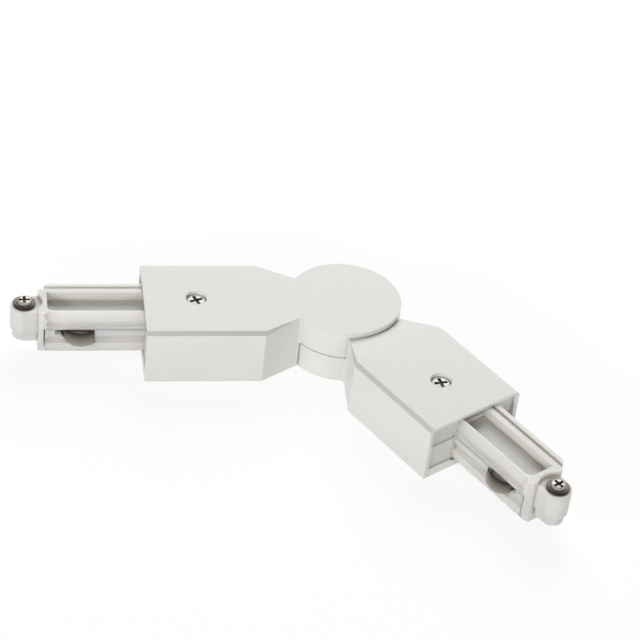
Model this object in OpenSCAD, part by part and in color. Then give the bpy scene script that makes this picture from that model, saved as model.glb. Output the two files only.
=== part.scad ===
// Rotatable connector for a slim surface track: two flat arms that turn on one hub,
// each with a plug that slides into the end of a track.
// Frame: the hub's axis is Z and the mounting face is z = 0. The upper arm lies along -X.
// The lower arm lies along +X, turned towards -Y by fold_angle.
// Inside an arm, x runs out from the hub's axis, and +y is the side of the plug's guide rail.

/* [Case] */
// Width of an arm
arm_w = 35; // [33:0.5:40]
// Height of an arm
arm_h = 19; // [19:0.5:23]
// Distance from the hub's axis to the end of a case
case_len = 63; // [61:0.5:80]
// Distance from the hub's edge to the shoulders, where the case reaches its full width
shoulder_out = 9.1; // [8:0.1:12]
// Distance from the hub's edge in to the corners of the neck
neck_in = 2.1; // [1.2:0.1:2.4]
// Step from the full width to the neck, on each side
neck_step = 7.2; // [6.6:0.1:7.5]
// Thickness of the case's walls
wall = 1.5; // [1.2:0.1:1.8]
// Thickness of the case's top
top_t = 1.1; // [1:0.1:1.5]
// Width of the bevel along the top edges, seen from above
bevel_in = 1.1; // [0.5:0.1:1.2]
// Depth of the bevel along the top edges, seen from the side
bevel_down = 1.15; // [0.5:0.05:1.3]
// Thickness of the floor plate
floor_t = 1.8; // [1.4:0.1:2]
// Height of the floor plate's lip at the open end of a case
lip_h = 3; // [2.2:0.1:4]
// Thickness of that lip
lip_t = 1.1; // [0.8:0.1:1.4]
// Gap around a moulding that sits inside a case
fit_gap = 0.15; // [0.05:0.05:0.25]

/* [Hub] */
// How far the round hub stands out past each side of the arms
hub_over = 0.1; // [0:0.05:0.5]
// Angle between the lower arm and the straight line through the upper arm
fold_angle = 59.5; // [0:0.5:90]
// Largest fold to either side
fold_limit = 90; // [90:1:95]
// Height of the plane where the hub's two halves meet
split_z = 9; // [8.5:0.1:9.5]
// Gap between the hub's two halves
split_gap = 0.3; // [0.2:0.05:0.4]
// Gap between the hub and the hollowed end of the other arm
swing_gap = 0.5; // [0.4:0.1:0.8]
// Fall of the lower arm's top from its shoulders to its neck
ramp_drop = 2; // [1.5:0.1:2.3]
// Thickness of the deck that closes each half of the hub
deck_t = 2; // [1.6:0.1:2.2]
// Radius of the stop pin
stop_r = 1.2; // [1:0.1:1.4]
// Distance from the hub's edge in to the stop pin
stop_in = 5; // [4.6:0.1:5.3]
// Height of the stop pin above the lower deck
stop_h = 1.7; // [1:0.1:1.8]
// Gap all round the stop pin in its slot
stop_gap = 0.4; // [0.3:0.1:0.6]

/* [Pivot] */
// Outer radius of the hollow pivot
pivot_r = 5.5; // [5.3:0.1:5.8]
// Wall of the hollow pivot
pivot_wall = 1.1; // [0.8:0.1:1.2]
// Running gap around the pivot
run_gap = 0.05; // [0.02:0.01:0.08]
// Radius of the pivot's flange
flange_r = 7.5; // [7:0.1:8]
// Thickness of the pivot's flange
flange_t = 0.8; // [0.6:0.1:1]
// Distance from the hub's edge in to the friction washer
friction_in = 8.1; // [7.8:0.1:9]
// Thickness of the friction washer
friction_t = 0.85; // [0.7:0.05:1]
// Axial play of each washer
play = 0.05; // [0.02:0.01:0.1]
// Thickness of the spring washer
spring_t = 0.55; // [0.4:0.05:0.7]
// Thickness of the retaining ring
ring_t = 0.8; // [0.6:0.1:0.9]
// Radius of the retaining ring
ring_r = 7.3; // [7:0.1:7.6]
// Depth of the retaining ring's groove
ring_groove = 0.5; // [0.4:0.05:0.6]
// Length of the pivot above the retaining ring
pivot_tip = 0.6; // [0.4:0.1:0.8]

/* [Plug] */
// Half the width of the plug's body
plug_half = 7; // [6.8:0.1:7.5]
// Length of the plug outside the case, without its nose
plug_len = 32.2; // [30:0.1:40]
// Length of the plug inside the case
plug_in = 7; // [6.5:0.1:8]
// Gap between the plug's top and the inside of the case
top_gap = 0.1; // [0.05:0.05:0.3]
// Height of the plug's underside
plug_low = 2.2; // [2:0.1:2.6]
// Height of the seam between the plug's two mouldings
seam_z = 11.9; // [11.7:0.1:12.2]
// Depth of the open tray in the plug's top
tray_d = 3.2; // [2.8:0.1:3.6]
// Radius of the tray's corner at the front of its outer end
tray_corner = 2; // [1:0.1:2.5]
// Height of the slot above the plug, inside the case
slot_h = 2; // [1.5:0.1:2.4]
// Thickness of the tray's front wall at its top
front_wall = 0.45; // [0.4:0.05:0.8]
// Thickness of the tray's back wall
back_wall = 1.9; // [1.5:0.1:2.1]
// Thickness of the wall at the tray's outer end
end_wall = 2.7; // [2.4:0.1:3]
// How far the guide rail stands out past the plug's side
rail_out_by = 1.7; // [1.4:0.1:2]
// Width of the groove between the tray and the guide rail
rail_gap = 1.2; // [1:0.1:1.5]
// Width of the guide rail
rail_w = 1.4; // [1.2:0.1:1.6]
// Height of the guide rail's outer face
rail_h = 4; // [3.6:0.1:4.2]
// Depth of the groove beside the guide rail
rail_groove = 2.5; // [2:0.1:2.6]
// Length of the slanted cut across the guide rail's outer end
rail_cut = 3.2; // [2.5:0.1:3.4]
// Lean of the tray's front wall, from the plug's side to its top
wall_lean = 1.65; // [1.3:0.05:1.7]
// Lean of the same wall's foot
foot_lean = 0.4; // [0.2:0.05:0.5]
// Height of the ledge under the tray's front wall
ledge_h = 1; // [0.8:0.1:1.2]
// Depth of the round cove above that ledge
cove_d = 1; // [0.8:0.05:1.1]
// Radius of that cove
cove_r = 1.3; // [1.1:0.05:1.4]
// Depth of the round groove low on the plug's sides
low_groove = 1.1; // [0.7:0.05:1.2]
// Height of the deepest line of that groove
low_groove_z = 7.5; // [7.3:0.1:7.7]
// Height over which the groove runs out above that line
low_rise = 3; // [2.4:0.1:3.4]
// Height over which it runs out below that line
low_lip = 0.7; // [0.5:0.1:0.9]
// Chamfer at the plug's outer end
end_chamfer = 1.1; // [0.8:0.1:1.3]
// Thickness of the end wall beyond the seam
end_face_t = 1.65; // [1.4:0.05:1.8]
// Radius of the hollow in the end wall around the clamp screw
scoop_r = 5.5; // [5:0.1:5.8]
// Width of the seam between the plug's lower moulding and its end wall
end_seam = 0.35; // [0.2:0.05:0.4]

/* [Contacts] */
// Distance from the plug's end face to the inner end of a contact window
window_from = 17.2; // [16:0.1:18]
// Distance from the plug's end face to the outer end of a contact window
window_to = 6.7; // [6.2:0.1:7]
// Height of a contact window
window_h = 5.3; // [5.1:0.1:5.5]
// Width of the notch at the outer end of a contact window
notch_w = 1.55; // [1:0.05:1.7]
// Height of that notch
notch_h = 1.95; // [1.5:0.05:2.2]
// Thickness of the contact strip
strip_t = 0.5; // [0.4:0.05:0.6]
// Height of the contact strip
strip_h = 3.2; // [2.8:0.1:3.3]
// Distance from the plug's middle to the contact strip
strip_at = 4.75; // [4.7:0.05:4.9]
// Height of the sprung leaf
leaf_h = 4.7; // [4.6:0.05:4.8]
// Radius of the leaf's round lower corner
leaf_corner = 4.5; // [3:0.1:4.6]
// Gap around the leaf in its window
leaf_gap = 0.3; // [0.2:0.05:0.35]
// How far the leaf's free end stands out from the plug's side
leaf_out = 0.4; // [0.3:0.1:0.8]
// Rise of the leaf's bow above its chord
leaf_bow = 2.4; // [1.8:0.1:2.6]
// Width of the earth strip
earth_w = 3; // [2.4:0.1:3.2]
// Height of the earth strip above the plug's underside
earth_up = 2.8; // [2.6:0.1:3]
// How far the earth leaf stands out under the plug
earth_out = 0.8; // [0.5:0.1:1]
// Length of the opening under the earth leaf
earth_len = 12; // [10:0.5:14]

/* [Clamp] */
// Distance from the plug's end face to the clamp screw
clamp_at = 4.2; // [4:0.1:5]
// Radius of the nose around the clamp screw
nose_r = 4.2; // [4:0.1:4.6]
// Drop from the plug's top to the nose's top
nose_drop = 1.3; // [0.9:0.1:1.8]
// Height of the nose
nose_h = 8.3; // [7.5:0.1:8.5]
// Radius of the clamp foot
foot_r = 3.5; // [3.4:0.1:3.7]
// Height of the clamp foot
foot_h = 3.2; // [2.8:0.1:3.5]
// Gap between the clamp foot and the nose
foot_gap = 0.1; // [0.05:0.05:0.2]
// Radius of the clamp screw's shank
clamp_r = 1.25; // [1:0.05:1.4]
// Radius of the clamp screw's head
clamp_head_r = 2.4; // [2.2:0.1:2.7]
// Height of the clamp screw's head
clamp_head_h = 0.9; // [0.7:0.1:1.2]
// Size of the cross in that head
clamp_cross = 3.3; // [2.6:0.1:3.6]
// Radius of the washer under that head
collar_r = 3.5; // [3.2:0.1:3.8]
// Width of the step around that washer
collar_step = 0.45; // [0.3:0.05:0.5]
// Thickness of that washer
collar_t = 0.9; // [0.5:0.1:1.1]
// Radius of the nut's corners
nut_r = 2.85; // [2.6:0.05:2.9]
// Thickness of the nut
nut_t = 1.9; // [1.5:0.1:2.2]

/* [Cover screw] */
// Distance from the end of a case back to its cover screw
screw_back = 16.3; // [16:0.1:18]
// Radius of the screw's recess
recess_r = 3.3; // [3:0.1:3.6]
// Depth of the screw's recess
recess_d = 1.8; // [1.4:0.1:2]
// Radius of the screw's head
head_r = 2.85; // [2.4:0.05:2.95]
// Height of the screw's head
head_h = 0.9; // [0.8:0.1:1.2]
// Size of the cross in the screw's head
head_cross = 4.2; // [3:0.1:4.4]
// Turn of that cross from the arm's direction
cross_turn = -21; // [-45:1:45]
// Radius of the screw's shank
shank_r = 1.45; // [1.3:0.05:1.5]
// Length of the screw's shank
shank_len = 9; // [8:0.5:12]
// Radius of the post that takes the screw
post_r = 3.2; // [3:0.1:3.4]
// Thickness of the cover under the screw's head
seat_t = 1.3; // [1:0.1:1.6]

/* [Wiring] */
// Radius of a wire
wire_r = 1; // [0.8:0.05:1.05]
// Outer radius of the sheath around the wires in the pivot
sheath_r = 4.1; // [4:0.05:4.15]
// Wall of that sheath
sheath_wall = 0.6; // [0.4:0.05:0.6]
// Distance from the hub's axis to each wire inside the sheath
bundle_r = 2.3; // [2.2:0.05:2.4]
// Gap between a wire and the parts it passes
wire_gap = 0.5; // [0.4:0.05:0.6]
// Wall of a crimped barrel
crimp_wall = 0.35; // [0.25:0.05:0.4]
// Length of a crimped barrel
crimp_len = 3; // [2.5:0.1:3.2]

/* [Hidden] */
$fn = 96;
over = 1;
small_gap = 0.05;

shell_white = [0.87, 0.86, 0.84];
plug_white = [0.9, 0.89, 0.87];
nickel = [0.72, 0.7, 0.67];
brass_tone = [0.8, 0.66, 0.36];
steel_tone = [0.6, 0.6, 0.62];

hub_r = arm_w / 2 + hub_over;
shoulder_at = hub_r + shoulder_out;
neck_at = hub_r - neck_in;
neck_w = arm_w - 2 * neck_step;
stop_at = hub_r - stop_in;
friction_r = hub_r - friction_in;
screw_at = case_len - screw_back;
plug_start = case_len - plug_in;
plug_end = case_len + plug_len;

shoulder_angle = atan2(neck_step, shoulder_at - neck_at);
ramp_slope = ramp_drop / (shoulder_at - neck_at);
lower_hub_top = split_z - split_gap / 2;
upper_hub_low = split_z + split_gap / 2;
clear_r = hub_r + swing_gap;
riser_r = clear_r + wall;
inner_r = hub_r - wall - fit_gap;
ceiling_z = arm_h - top_t;
inner_half = arm_w / 2 - wall - fit_gap;

upper_deck_top = upper_hub_low + deck_t;
lower_deck_low = lower_hub_top - deck_t;
bore_r = pivot_r - pivot_wall;
friction_seat = upper_hub_low - play - friction_t;
spring_low = upper_deck_top + play;
ring_low = spring_low + spring_t;
groove_top = ring_low + ring_t + play;
pivot_top = groove_top + pivot_tip;
slot_angle = fold_limit + asin(stop_gap / stop_at);

plug_top_z = ceiling_z - top_gap;
tray_floor = plug_top_z - tray_d;
ledge_top = seam_z + ledge_h;
front_in = plug_half - wall_lean - front_wall;
rail_out = plug_half + rail_out_by;
rail_in = rail_out - rail_w;
back_out = rail_in - rail_gap;
back_in = back_out - back_wall;
end_wall_at = plug_end - end_face_t;
groove_end = plug_end - 4.2;
groove_turn = 1.5;
cove_x = groove_turn + cove_d - cove_r;
cove_z = ledge_top + sqrt(cove_r * cove_r - (cove_r - cove_d) * (cove_r - cove_d));
low_r = (low_groove * low_groove + low_rise * low_rise) / (4 * low_groove);
low_turn = asin(low_rise / 2 / low_r);
lip_r = (low_groove * low_groove + low_lip * low_lip) / (2 * low_groove);
arc_steps = 10;
flange_x = case_len - 0.5;
flange_w = 1.7;
flange_step = 0.3;
flange_low = lip_h + 0.1;
flange_top = ceiling_z - 0.35;
tray_from = flange_x;
tray_to = plug_end - end_wall;

window_in = plug_end - window_from;
window_out = plug_end - window_to;
window_low = seam_z - window_h;
strip_low = seam_z - strip_h - 0.6;
channel_gap = 0.2;
leaf_low = seam_z - leaf_h - leaf_gap;
leaf_root = window_out - leaf_gap;
leaf_tip = window_in + leaf_gap + 0.2;
earth_z = plug_low + earth_up;
earth_from = plug_end - 6 - earth_len;
crimp_r = wire_r + small_gap + crimp_wall;
crimp_from = plug_start - crimp_len - 0.4;
strip_mid = strip_low + strip_h / 2;

screw_x = plug_end + clamp_at;
nose_top = plug_top_z - nose_drop;
nose_low = nose_top - nose_h;
foot_top = nose_low - foot_gap;
foot_low = foot_top - foot_h;
collar_top = nose_top + collar_t;
nut_gap = 0.1;

head_top = arm_h - recess_d + head_h;
seat_z = arm_h - recess_d;
post_top = seat_z - seat_t;

knuckle_r = 1.08 * wire_r;
wire_start = crimp_from + crimp_len - 0.6;
pair_x = -bundle_r / 2;
pair_y = bundle_r * sin(60);
mid_x = riser_r + 6 * wire_r;
upper_mid_z = upper_deck_top + wire_r + 3 * wire_gap;
lower_mid_z = floor_t + wire_r + 3 * wire_gap;
upper_run_z = pivot_top + wire_r + 0.7;
upper_wire_low = pivot_top + 0.1;
lower_run_z = floor_t + wire_r + 0.6;
sheath_low = lower_run_z + wire_r + 0.5;
sheath_top = pivot_top - 0.2;

function neck_x(inset) = neck_at + inset * sin(shoulder_angle)
    - inset * (1 - cos(shoulder_angle)) / tan(shoulder_angle);
function shoulder_x(inset) = neck_at + inset * sin(shoulder_angle)
    + (neck_step - inset * (1 - cos(shoulder_angle))) / tan(shoulder_angle);

// Points of an arc about the middle c
function arc(c, r, from, to) = [
    for (i = [0 : arc_steps])
        c + r * [cos(from + (to - from) * i / arc_steps), sin(from + (to - from) * i / arc_steps)]
];

// Places an arm's pieces, drawn along +X, on the upper arm
module on_upper() {
    mirror([1, 0, 0]) children();
}

// Places an arm's pieces, drawn along +X, on the lower arm
module on_lower() {
    rotate([0, 0, -fold_angle]) children();
}

// Extrudes a section in the y and z directions along the arm
module along_arm(from_x, to_x) {
    translate([from_x, 0, 0]) rotate([90, 0, 90]) linear_extrude(to_x - from_x) children();
}

// Repeats a piece on both sides of the arm
module both_sides() {
    children();
    mirror([0, 1, 0]) children();
}

// Outline of an arm from above, moved inwards by inset
module arm_outline(inset, to_x) {
    half_neck = neck_w / 2 - inset;
    half_arm = arm_w / 2 - inset;
    polygon([
        [0, -half_neck], [neck_x(inset), -half_neck], [shoulder_x(inset), -half_arm],
        [to_x, -half_arm], [to_x, half_arm],
        [shoulder_x(inset), half_arm], [neck_x(inset), half_neck], [0, half_neck]
    ]);
}

// Solid under the lower arm's falling top, lowered by drop
module under_ramp(drop, to_x) {
    top = arm_h - drop;
    translate([0, arm_w, 0]) rotate([90, 0, 0]) linear_extrude(2 * arm_w) polygon([
        [0, -over], [to_x, -over], [to_x, top], [shoulder_at, top],
        [0, top - ramp_slope * shoulder_at]
    ]);
}

// Space above the plane through three points
module above_plane(p, q, r) {
    up = cross(q - p, r - p);
    reach = 2 * arm_w;
    translate(p) rotate([0, acos(up[2] / norm(up)), atan2(up[1], up[0])])
        translate([-reach, -reach, 0]) cube([2 * reach, 2 * reach, reach]);
}

// Bevels along both sides of an arm's top, which run out at a neck lower by drop
module side_bevels(drop) {
    side_y = -arm_w / 2;
    turn_at = shoulder_at + small_gap;
    both_sides() {
        along_arm(neck_at, case_len + over) polygon([
            [side_y - bevel_in, arm_h - 2 * bevel_down],
            [side_y + 2 * bevel_in, arm_h + bevel_down],
            [side_y - bevel_in, arm_h + bevel_down]
        ]);
        intersection() {
            above_plane([neck_at, -neck_w / 2, arm_h - drop],
                [turn_at, side_y, arm_h - bevel_down], [turn_at, side_y + bevel_in, arm_h]);
            linear_extrude(arm_h + over) polygon([
                [neck_at, -neck_w / 2], [neck_at, -arm_w],
                [case_len, -arm_w], [case_len, -neck_w / 2]
            ]);
        }
    }
}

// Boss inside the cover under the screw's recess
module screw_boss() {
    translate([screw_at, 0, post_top])
        cylinder(r = recess_r + 1, h = ceiling_z - post_top + small_gap);
}

// Recess and hole for the cover screw
module screw_recess() {
    translate([screw_at, 0, seat_z]) cylinder(r = recess_r, h = recess_d + over);
    translate([screw_at, 0, post_top - over])
        cylinder(r = shank_r + 3 * small_gap, h = seat_t + 2 * over);
}

// Cover of the upper arm: one shell with the top disc and the upper half of the hub
module upper_cover() {
    color(shell_white) difference() {
        union() {
            difference() {
                linear_extrude(arm_h) arm_outline(0, case_len);
                side_bevels(0);
                translate([0, 0, -over]) cylinder(r = clear_r, h = upper_hub_low + over);
            }
            translate([0, 0, upper_hub_low]) cylinder(r = hub_r, h = arm_h - upper_hub_low);
        }
        difference() {
            translate([0, 0, -over]) linear_extrude(ceiling_z + over)
                arm_outline(wall, case_len + over);
            screw_boss();
        }
        translate([0, 0, upper_hub_low - over])
            cylinder(r = hub_r - wall, h = ceiling_z - upper_hub_low + over);
        screw_recess();
    }
}

// Cover of the lower arm: one shell with the falling top and the lower half of the hub
module lower_cover() {
    color(shell_white) difference() {
        union() {
            difference() {
                intersection() {
                    linear_extrude(arm_h) arm_outline(0, case_len);
                    under_ramp(0, case_len);
                }
                side_bevels(ramp_drop);
                translate([0, 0, lower_hub_top]) cylinder(r = clear_r, h = arm_h);
            }
            cylinder(r = hub_r, h = lower_hub_top);
            translate([stop_at, 0, lower_hub_top - small_gap])
                cylinder(r = stop_r, h = stop_h + small_gap);
        }
        difference() {
            intersection() {
                translate([0, 0, -over]) linear_extrude(arm_h)
                    arm_outline(wall, case_len + over);
                under_ramp(top_t, case_len + over);
            }
            translate([0, 0, lower_deck_low]) cylinder(r = riser_r, h = arm_h);
            screw_boss();
        }
        translate([0, 0, -over]) cylinder(r = hub_r - wall, h = lower_deck_low + over);
        translate([0, 0, lower_deck_low - over])
            cylinder(r = pivot_r + run_gap, h = deck_t + 2 * over);
        translate([0, 0, friction_seat]) cylinder(r = friction_r + small_gap, h = over);
        screw_recess();
    }
}

// Floor plate of an arm with its end lip, screw post and the saddles under the plug
module arm_floor() {
    linear_extrude(floor_t) arm_outline(wall + fit_gap, case_len);
    translate([case_len - lip_t, -inner_half, 0]) cube([lip_t, 2 * inner_half, plug_low]);
    both_sides() translate([case_len - lip_t, plug_half + fit_gap, 0])
        cube([lip_t, inner_half - plug_half - fit_gap, lip_h]);
    translate([screw_at, 0, 0]) cylinder(r = post_r, h = post_top);
    for (x = [plug_start + 0.5, flange_x - flange_w - 1.2])
        translate([x, -plug_half + 2, 0]) cube([1, 2 * (plug_half - 2), plug_low]);
}

// Pilot hole for the cover screw
module pilot_hole() {
    translate([screw_at, 0, seat_z - shank_len - 0.5])
        cylinder(r = shank_r + small_gap, h = shank_len + over);
}

// Base of the upper arm: floor plate, riser and the deck that turns on the pivot
module upper_base() {
    color(shell_white) difference() {
        union() {
            arm_floor();
            intersection() {
                linear_extrude(upper_deck_top) arm_outline(wall + fit_gap, case_len);
                cylinder(r = riser_r, h = arm_h);
            }
            translate([0, 0, upper_hub_low]) cylinder(r = inner_r, h = deck_t);
        }
        translate([0, 0, -over]) cylinder(r = clear_r, h = upper_hub_low + over);
        cylinder(r = pivot_r + run_gap, h = arm_h);
        stop_slot();
        pilot_hole();
    }
}

// Curved slot in the upper deck for the stop pin
module stop_slot() {
    slot_r = stop_r + stop_gap;
    rotate([0, 0, 180 - slot_angle]) rotate_extrude(angle = 2 * slot_angle)
        translate([stop_at - slot_r, 0]) square([2 * slot_r, arm_h]);
    for (side = [-1, 1])
        rotate([0, 0, 180 + side * slot_angle]) translate([stop_at, 0, 0])
            cylinder(r = slot_r, h = arm_h);
}

// Base of the lower arm: floor plate with the disc that closes the hub from below
module lower_base() {
    color(shell_white) difference() {
        union() {
            arm_floor();
            cylinder(r = inner_r, h = floor_t);
        }
        pilot_hole();
    }
}

// Cross-shaped screwdriver recess, cut down from z = 0
module cross_recess(size, depth) {
    for (turn = [0, 90])
        rotate([0, 0, turn]) translate([-size / 2, -size / 8, -depth])
            cube([size, size / 4, depth + over]);
}

// Screw that holds a cover on its base
module cover_screw() {
    color(shell_white) translate([screw_at, 0, 0]) difference() {
        rotate_extrude() polygon([
            [0, seat_z - shank_len], [shank_r - 0.4, seat_z - shank_len],
            [shank_r, seat_z - shank_len + 0.6], [shank_r, seat_z], [head_r, seat_z],
            [head_r, head_top - 0.35], [head_r - 0.3, head_top - 0.08],
            [head_r - 0.8, head_top], [0, head_top]
        ]);
        translate([0, 0, head_top]) rotate([0, 0, cross_turn]) cross_recess(head_cross, 0.6);
    }
}

// Outline of the plug from above, with its chamfered end
module plug_outline() {
    polygon([
        [plug_start, -plug_half], [plug_end - end_chamfer, -plug_half],
        [plug_end, -plug_half + 1.6 * end_chamfer], [plug_end, rail_out - rail_cut],
        [plug_end - rail_cut, rail_out], [plug_start, rail_out]
    ]);
}

// Section of the plug's upper moulding, before the tray and the front wall are cut
module top_section() {
    polygon([
        [-plug_half, seam_z], [-plug_half, plug_top_z],
        [back_out, plug_top_z], [back_out, plug_top_z - rail_groove],
        [rail_in, plug_top_z - rail_groove], [rail_in, plug_top_z],
        [rail_out, plug_top_z], [rail_out, plug_top_z - rail_h],
        [plug_half, plug_top_z - rail_h], [plug_half, seam_z]
    ]);
}

// Section of the cut in front of the tray's leaning wall, measured from the turning axis
module front_cut() {
    from = -asin((cove_z - ledge_top) / cove_r);
    to = asin((tray_floor - cove_z) / cove_r);
    polygon(concat([[0, ledge_top]], arc([cove_x, cove_z], cove_r, from, to), [
        [groove_turn + foot_lean, tray_floor], [groove_turn + wall_lean, plug_top_z],
        [groove_turn + wall_lean, plug_top_z + over], [0, plug_top_z + over]
    ]));
}

// Section of the round groove low on the plug's sides, measured from the turning axis
module low_cut() {
    high = low_groove_z + low_rise;
    polygon(concat(
        [[0, low_groove_z - low_lip]],
        arc([groove_turn + low_groove - lip_r, low_groove_z], lip_r,
            atan2(-low_lip, lip_r - low_groove), 0),
        arc([groove_turn + low_groove - low_r, low_groove_z], low_r, low_turn / arc_steps, low_turn),
        arc([groove_turn + low_r, high], low_r, 180 + low_turn - low_turn / arc_steps, 180),
        [[0, high]]
    ));
}

// Runs a cut along the plug's front side and turns it out of the side at its outer end
module side_cut(from_x, to_x) {
    translate([0, -plug_half - groove_turn, 0]) {
        along_arm(from_x, to_x) children();
        translate([to_x, 0, 0]) rotate_extrude(angle = 90) children();
    }
}

// Upper moulding of the plug: tray, guide rail, ledge, end wall and nose
module plug_top() {
    color(plug_white) difference() {
        union() {
            intersection() {
                union() {
                    along_arm(plug_start, plug_end) top_section();
                    along_arm(end_wall_at, plug_end) base_section();
                }
                linear_extrude(arm_h) plug_outline();
            }
            top_flange();
            translate([plug_end - 1, -nose_r, nose_low]) cube([clamp_at + 1, 2 * nose_r, nose_h]);
            translate([screw_x, 0, nose_low]) cylinder(r = nose_r, h = nose_h);
        }
        side_cut(flange_x, groove_end) front_cut();
        translate([0, 0, tray_floor]) linear_extrude(tray_d + over) tray_outline();
        translate([plug_start - over, -front_in, plug_top_z - slot_h])
            cube([tray_from - plug_start + 2 * over, front_in + back_in, slot_h + over]);
        translate([screw_x, 0, nose_top]) cylinder(r = scoop_r, h = nose_drop + over);
        translate([screw_x, 0, nose_low - over])
            cylinder(r = clamp_r + small_gap, h = nose_h + 2 * over);
    }
}

// Outline of the tray from above, with its round corner
module tray_outline() {
    round_x = tray_to - tray_corner;
    translate([tray_from, -front_in]) square([round_x - tray_from, front_in + back_in]);
    translate([round_x - small_gap, tray_corner - front_in])
        square([tray_corner + small_gap, front_in + back_in - tray_corner]);
    translate([round_x, tray_corner - front_in]) circle(r = tray_corner);
}

// Flange of the upper moulding, which closes the upper part of the case's end
module top_flange() {
    x = flange_x - flange_w;
    translate([x, -inner_half, seam_z])
        cube([flange_w - flange_step, 2 * inner_half, flange_top - seam_z]);
    both_sides() translate([x, plug_half + small_gap, seam_z - 0.6])
        cube([flange_w - flange_step, inner_half - plug_half - small_gap, 0.7]);
}

// Section of the plug's lower moulding
module base_section() {
    polygon([
        [-plug_half, seam_z], [-plug_half, plug_low + 2.6], [-plug_half + 0.7, plug_low + 1],
        [-plug_half + 2.4, plug_low], [plug_half - 2.4, plug_low],
        [plug_half - 0.7, plug_low + 1], [plug_half, plug_low + 2.6], [plug_half, seam_z]
    ]);
}

// Window in the plug's front side, round at its lower outer corner, with a small notch
module contact_window() {
    depth = plug_half + over - strip_at + strip_t / 2 + channel_gap;
    corner = leaf_corner + leaf_gap;
    round_x = window_out - corner;
    translate([0, depth - plug_half - over, 0]) rotate([90, 0, 0]) linear_extrude(depth) {
        translate([window_in, window_low]) square([round_x - window_in, window_h + over]);
        translate([round_x, window_low + corner]) circle(r = corner);
        translate([round_x - small_gap, window_low + corner])
            square([corner + small_gap, window_h + over - corner]);
        translate([window_out - leaf_gap, seam_z - notch_h])
            square([leaf_gap + notch_w, notch_h + over]);
    }
}

// Channel that holds a contact strip along the plug's front side
module strip_channel() {
    width = strip_t + 2 * channel_gap;
    translate([plug_start - over, -strip_at - width / 2, strip_low - small_gap])
        cube([window_out - plug_start + over, width, seam_z - strip_low + over]);
}

// Lower moulding of the plug: the insert that holds the contacts
module plug_base() {
    color(plug_white) difference() {
        union() {
            along_arm(plug_start, end_wall_at - end_seam) base_section();
            translate([flange_x - flange_w, -inner_half, flange_low])
                cube([flange_w, 2 * inner_half, seam_z - 0.7 - flange_low]);
        }
        both_sides() {
            side_cut(flange_x, plug_end - 4) low_cut();
            contact_window();
            strip_channel();
        }
        core_half = strip_at - strip_t / 2 - channel_gap - 0.9;
        translate([case_len, -core_half, earth_z + 1.6])
            cube([plug_end - 4 - case_len, 2 * core_half, seam_z]);
        translate([plug_start - over, -earth_w / 2 - channel_gap, earth_z - small_gap])
            cube([plug_end - 6 - plug_start + over, earth_w + 2 * channel_gap, strip_t + 0.3]);
        translate([earth_from, -earth_w / 2 - channel_gap, plug_low - over])
            cube([earth_len, earth_w + 2 * channel_gap, earth_up + over]);
    }
}

// Bowed leaf in the x and y directions from root to tip, bowed towards -y
module bowed_leaf(root, tip, bow, thick, height) {
    chord = tip - root;
    len = norm(chord);
    radius = len * len / (8 * bow) + bow / 2;
    out = [-chord[1], chord[0]] / len;
    centre = (root + tip) / 2 - out * (radius - bow);
    from_angle = atan2(tip[1] - centre[1], tip[0] - centre[0]);
    to_angle = atan2(root[1] - centre[1], root[0] - centre[0]);
    translate([centre[0], centre[1], 0]) rotate([0, 0, from_angle])
        rotate_extrude(angle = to_angle - from_angle)
            translate([radius - thick / 2, 0]) square([thick, height]);
}

// Side contact: crimped barrel, strip and the sprung leaf in the window
module side_contact() {
    translate([crimp_from, -strip_at, strip_mid]) rotate([0, 90, 0]) difference() {
        cylinder(r = crimp_r, h = crimp_len);
        translate([0, 0, -over]) cylinder(r = wire_r + small_gap, h = crimp_len + over - 0.5);
    }
    translate([crimp_from + crimp_len - 0.1, -strip_at - strip_t / 2, strip_low])
        cube([leaf_root - crimp_from - crimp_len + 0.2, strip_t, strip_h]);
    intersection() {
        translate([0, 0, leaf_low])
            bowed_leaf([leaf_root, -strip_at], [leaf_tip, -plug_half - leaf_out], leaf_bow,
                strip_t, leaf_h);
        leaf_shape();
    }
}

// Side view of the leaf, with a round lower corner at its root
module leaf_shape() {
    mid_x = leaf_root - leaf_corner;
    translate([0, over, 0]) rotate([90, 0, 0]) linear_extrude(plug_half + 4) {
        translate([leaf_tip - over, leaf_low - over])
            square([mid_x - leaf_tip + over, leaf_h + 2 * over]);
        translate([mid_x, leaf_low + leaf_corner]) circle(r = leaf_corner);
        translate([mid_x - small_gap, leaf_low + leaf_corner])
            square([leaf_corner + over, leaf_h - leaf_corner + over]);
    }
}

// Contact on the plug's front side
module live_contact() {
    color(nickel) side_contact();
}

// Contact on the plug's back side
module neutral_contact() {
    color(nickel) mirror([0, 1, 0]) side_contact();
}

// Earth contact: crimped barrel, strip and the leaf under the plug
module earth_contact() {
    root_x = earth_from + earth_len - 0.8;
    tip_x = earth_from + 0.8;
    mid_z = earth_z + strip_t / 2;
    color(nickel) {
        translate([crimp_from, 0, mid_z]) rotate([0, 90, 0]) difference() {
            cylinder(r = crimp_r, h = crimp_len);
            translate([0, 0, -over])
                cylinder(r = wire_r + small_gap, h = crimp_len + over - 0.5);
        }
        translate([crimp_from + crimp_len - 0.1, -earth_w / 2, earth_z])
            cube([root_x - crimp_from - crimp_len + 0.4, earth_w, strip_t]);
        translate([0, earth_w / 2 - small_gap, 0]) rotate([90, 0, 0])
            bowed_leaf([root_x, mid_z], [tip_x, plug_low - earth_out / 2], earth_out + 1,
                strip_t, earth_w - 2 * small_gap);
    }
}

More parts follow.
